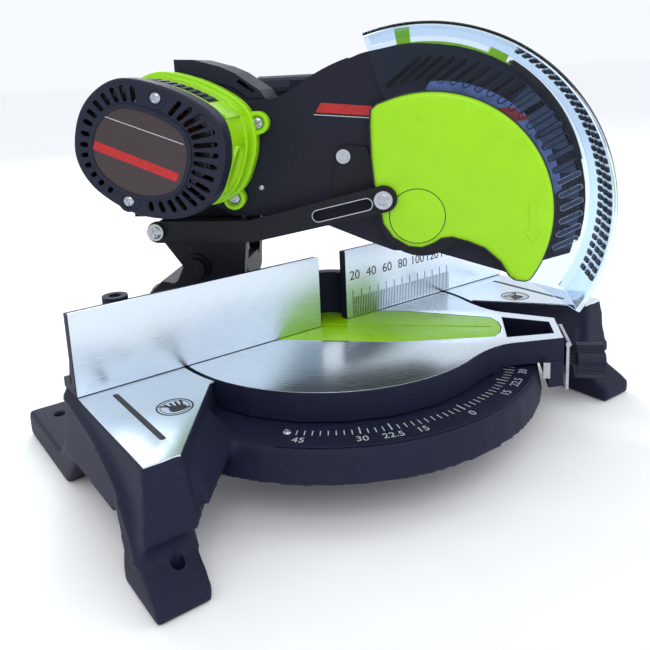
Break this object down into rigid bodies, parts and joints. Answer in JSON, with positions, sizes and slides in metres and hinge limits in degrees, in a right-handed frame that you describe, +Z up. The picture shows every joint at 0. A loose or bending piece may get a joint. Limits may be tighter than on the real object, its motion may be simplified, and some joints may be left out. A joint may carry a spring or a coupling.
{
  "type": "compound mitre saw",
  "caption": "Compound mitre saw with a belt-driven chopping head, clear lower guard, turntable with kerf plate, fixed fence and four bench feet.",
  "frame": {"origin": "middle of the underside of the whole saw, on the bench", "axes": "+X to the right along the fence, +Y to the back, +Z up"},
  "size_m": [0.494, 0.3736, 0.3566],
  "materials": {
    "black_paint": "satin",
    "lime_plastic": "gloss",
    "bright_aluminium": "polished",
    "bright_steel": "polished",
    "black_steel": "satin",
    "black_plastic": "matte",
    "black_rubber": "matte",
    "clear_plastic": "gloss",
    "brown_label": "satin",
    "copper_winding": "satin"
  },
  "bodies": {
    "base": {"base_casting": "black_paint", "fence": "bright_aluminium", "fence_bolt_1": "bright_steel", "fence_bolt_2": "bright_steel", "fence_bolt_3": "bright_steel", "fence_bolt_4": "bright_steel", "mitre_scale_plate": "black_plastic", "mitre_pivot_bolt": "bright_steel", "thrust_washer": "bright_steel"},
    "mitre_table": {"turntable": "bright_aluminium", "kerf_plate": "lime_plastic", "mitre_pointer": "bright_steel"},
    "mitre_knob": {"mitre_lock_knob": "black_plastic"},
    "detent_lever": {"mitre_detent_lever": "bright_steel"},
    "turret": {"bevel_turret": "black_steel", "bevel_pivot_bolt": "bright_steel", "chop_pivot_pin": "bright_steel", "link_rear_bolt": "bright_steel", "chop_return_spring": "bright_steel"},
    "lock_pin": {"head_lock_pin": "black_plastic"},
    "bevel_lever": {"bevel_lock_lever": "black_plastic"},
    "link": {"guard_link": "black_steel", "link_front_bolt": "bright_steel"},
    "head": {"head_casing": "black_paint", "belt_cover": "black_plastic", "guard_pivot_ring": "black_steel", "guard_bracket": "black_steel", "bracket_screw": "bright_steel", "arbor_bearing": "bright_steel", "drive_belt": "black_rubber", "motor_housing": "lime_plastic", "motor_end_cap": "black_plastic", "motor_label": "brown_label", "field_ring": "bright_steel", "motor_bearing": "bright_steel", "brush_holder_1": "brown_label", "brush_holder_2": "brown_label", "carry_handle": "black_plastic", "dust_spout": "black_plastic", "handle_bracket": "black_steel", "handle_left_half": "lime_plastic", "handle_right_half": "lime_plastic", "handle_grip": "black_rubber", "depth_stop_screw": "bright_steel", "cord_inlet": "black_rubber"},
    "lower_guard": {"lower_guard_clear": "clear_plastic", "guard_side_plate": "lime_plastic", "guard_cap": "lime_plastic"},
    "arbor": {"arbor_spindle": "bright_steel", "arbor_inner_flange": "bright_steel", "arbor_outer_flange": "bright_steel", "arbor_bolt": "bright_steel", "arbor_pulley": "bright_aluminium"},
    "rotor": {"motor_rotor": "copper_winding", "motor_fan": "black_plastic", "motor_pulley": "bright_aluminium"},
    "trigger": {"switch_trigger": "black_plastic"},
    "lock_off": {"lock_off_button": "black_plastic"},
    "spindle_lock": {"spindle_lock_button": "black_plastic"}
  },
  "joints": [
    {"name": "mitre_turn", "type": "hinge", "parent": "base", "child": "mitre_table", "pos_m": [0, 0.01282, 0.09], "axis": [0, 0, 1], "range_deg": [-90, 0]},
    {"name": "mitre_lock_turn", "type": "hinge", "parent": "mitre_table", "child": "mitre_knob", "pos_m": [0.15556, -0.14274, 0.06], "axis": [0.7071, -0.7071, 0], "range_deg": [0, 180]},
    {"name": "detent_press", "type": "hinge", "parent": "mitre_table", "child": "detent_lever", "pos_m": [0.14651, -0.13369, 0.083], "axis": [-0.7071, -0.7071, 0], "range_deg": [0, 8], "stiffness_Nm_per_rad": 1, "springref_deg": -2.86},
    {"name": "bevel_tilt", "type": "hinge", "parent": "mitre_table", "child": "turret", "pos_m": [-0.11314, 0.12596, 0.09], "axis": [0.7071, -0.7071, 0], "range_deg": [0, 15]},
    {"name": "lock_pin_pull", "type": "slide", "parent": "turret", "child": "lock_pin", "axis": [0.7071, 0.7071, 0], "range_m": [0, 0.006]},
    {"name": "bevel_lock_turn", "type": "hinge", "parent": "turret", "child": "bevel_lever", "pos_m": [-0.13435, 0.14717, 0.09], "axis": [0.7071, -0.7071, 0], "range_deg": [-30, 30]},
    {"name": "chop", "type": "hinge", "parent": "turret", "child": "head", "pos_m": [-0.0799, 0.09273, 0.155], "axis": [-0.7071, -0.7071, 0], "range_deg": [0, 40]},
    {"name": "guard_turn", "type": "hinge", "parent": "head", "child": "lower_guard", "pos_m": [0.0297, -0.0791, 0.203], "axis": [-0.7071, -0.7071, 0], "range_deg": [-70, 0]},
    {"name": "link_turn", "type": "hinge", "parent": "turret", "child": "link", "pos_m": [-0.13576, 0.07364, 0.1925], "axis": [-0.7071, -0.7071, 0], "range_deg": [0, 46]},
    {"name": "rotor_spin", "type": "hinge", "parent": "head", "child": "rotor", "pos_m": [-0.07778, 0.09061, 0.272], "axis": [-0.7071, -0.7071, 0], "continuous": true},
    {"name": "arbor_spin", "type": "hinge", "parent": "head", "child": "arbor", "pos_m": [0.06081, -0.04799, 0.203], "axis": [-0.7071, -0.7071, 0], "continuous": true},
    {"name": "trigger_pull", "type": "hinge", "parent": "head", "child": "trigger", "pos_m": [0.15245, -0.05194, 0.29604], "axis": [-0.7071, -0.7071, 0], "range_deg": [0, 5], "stiffness_Nm_per_rad": 0.5, "springref_deg": -4.58},
    {"name": "lock_off_press", "type": "slide", "parent": "head", "child": "lock_off", "axis": [-0.7071, -0.7071, 0], "range_m": [0, 0.004], "stiffness_N_per_m": 300, "springref_m": -0.002},
    {"name": "spindle_lock_press", "type": "slide", "parent": "head", "child": "spindle_lock", "axis": [-0.7071, -0.7071, 0], "range_m": [0, 0.003], "stiffness_N_per_m": 400, "springref_m": -0.002}
  ],
  "couplings": [
    {"joint": "guard_turn", "follows": "chop", "ratio": -1.6},
    {"joint": "link_turn", "follows": "chop", "ratio": 1.08},
    {"joint": "arbor_spin", "follows": "rotor_spin", "ratio": 0.56667}
  ]
}
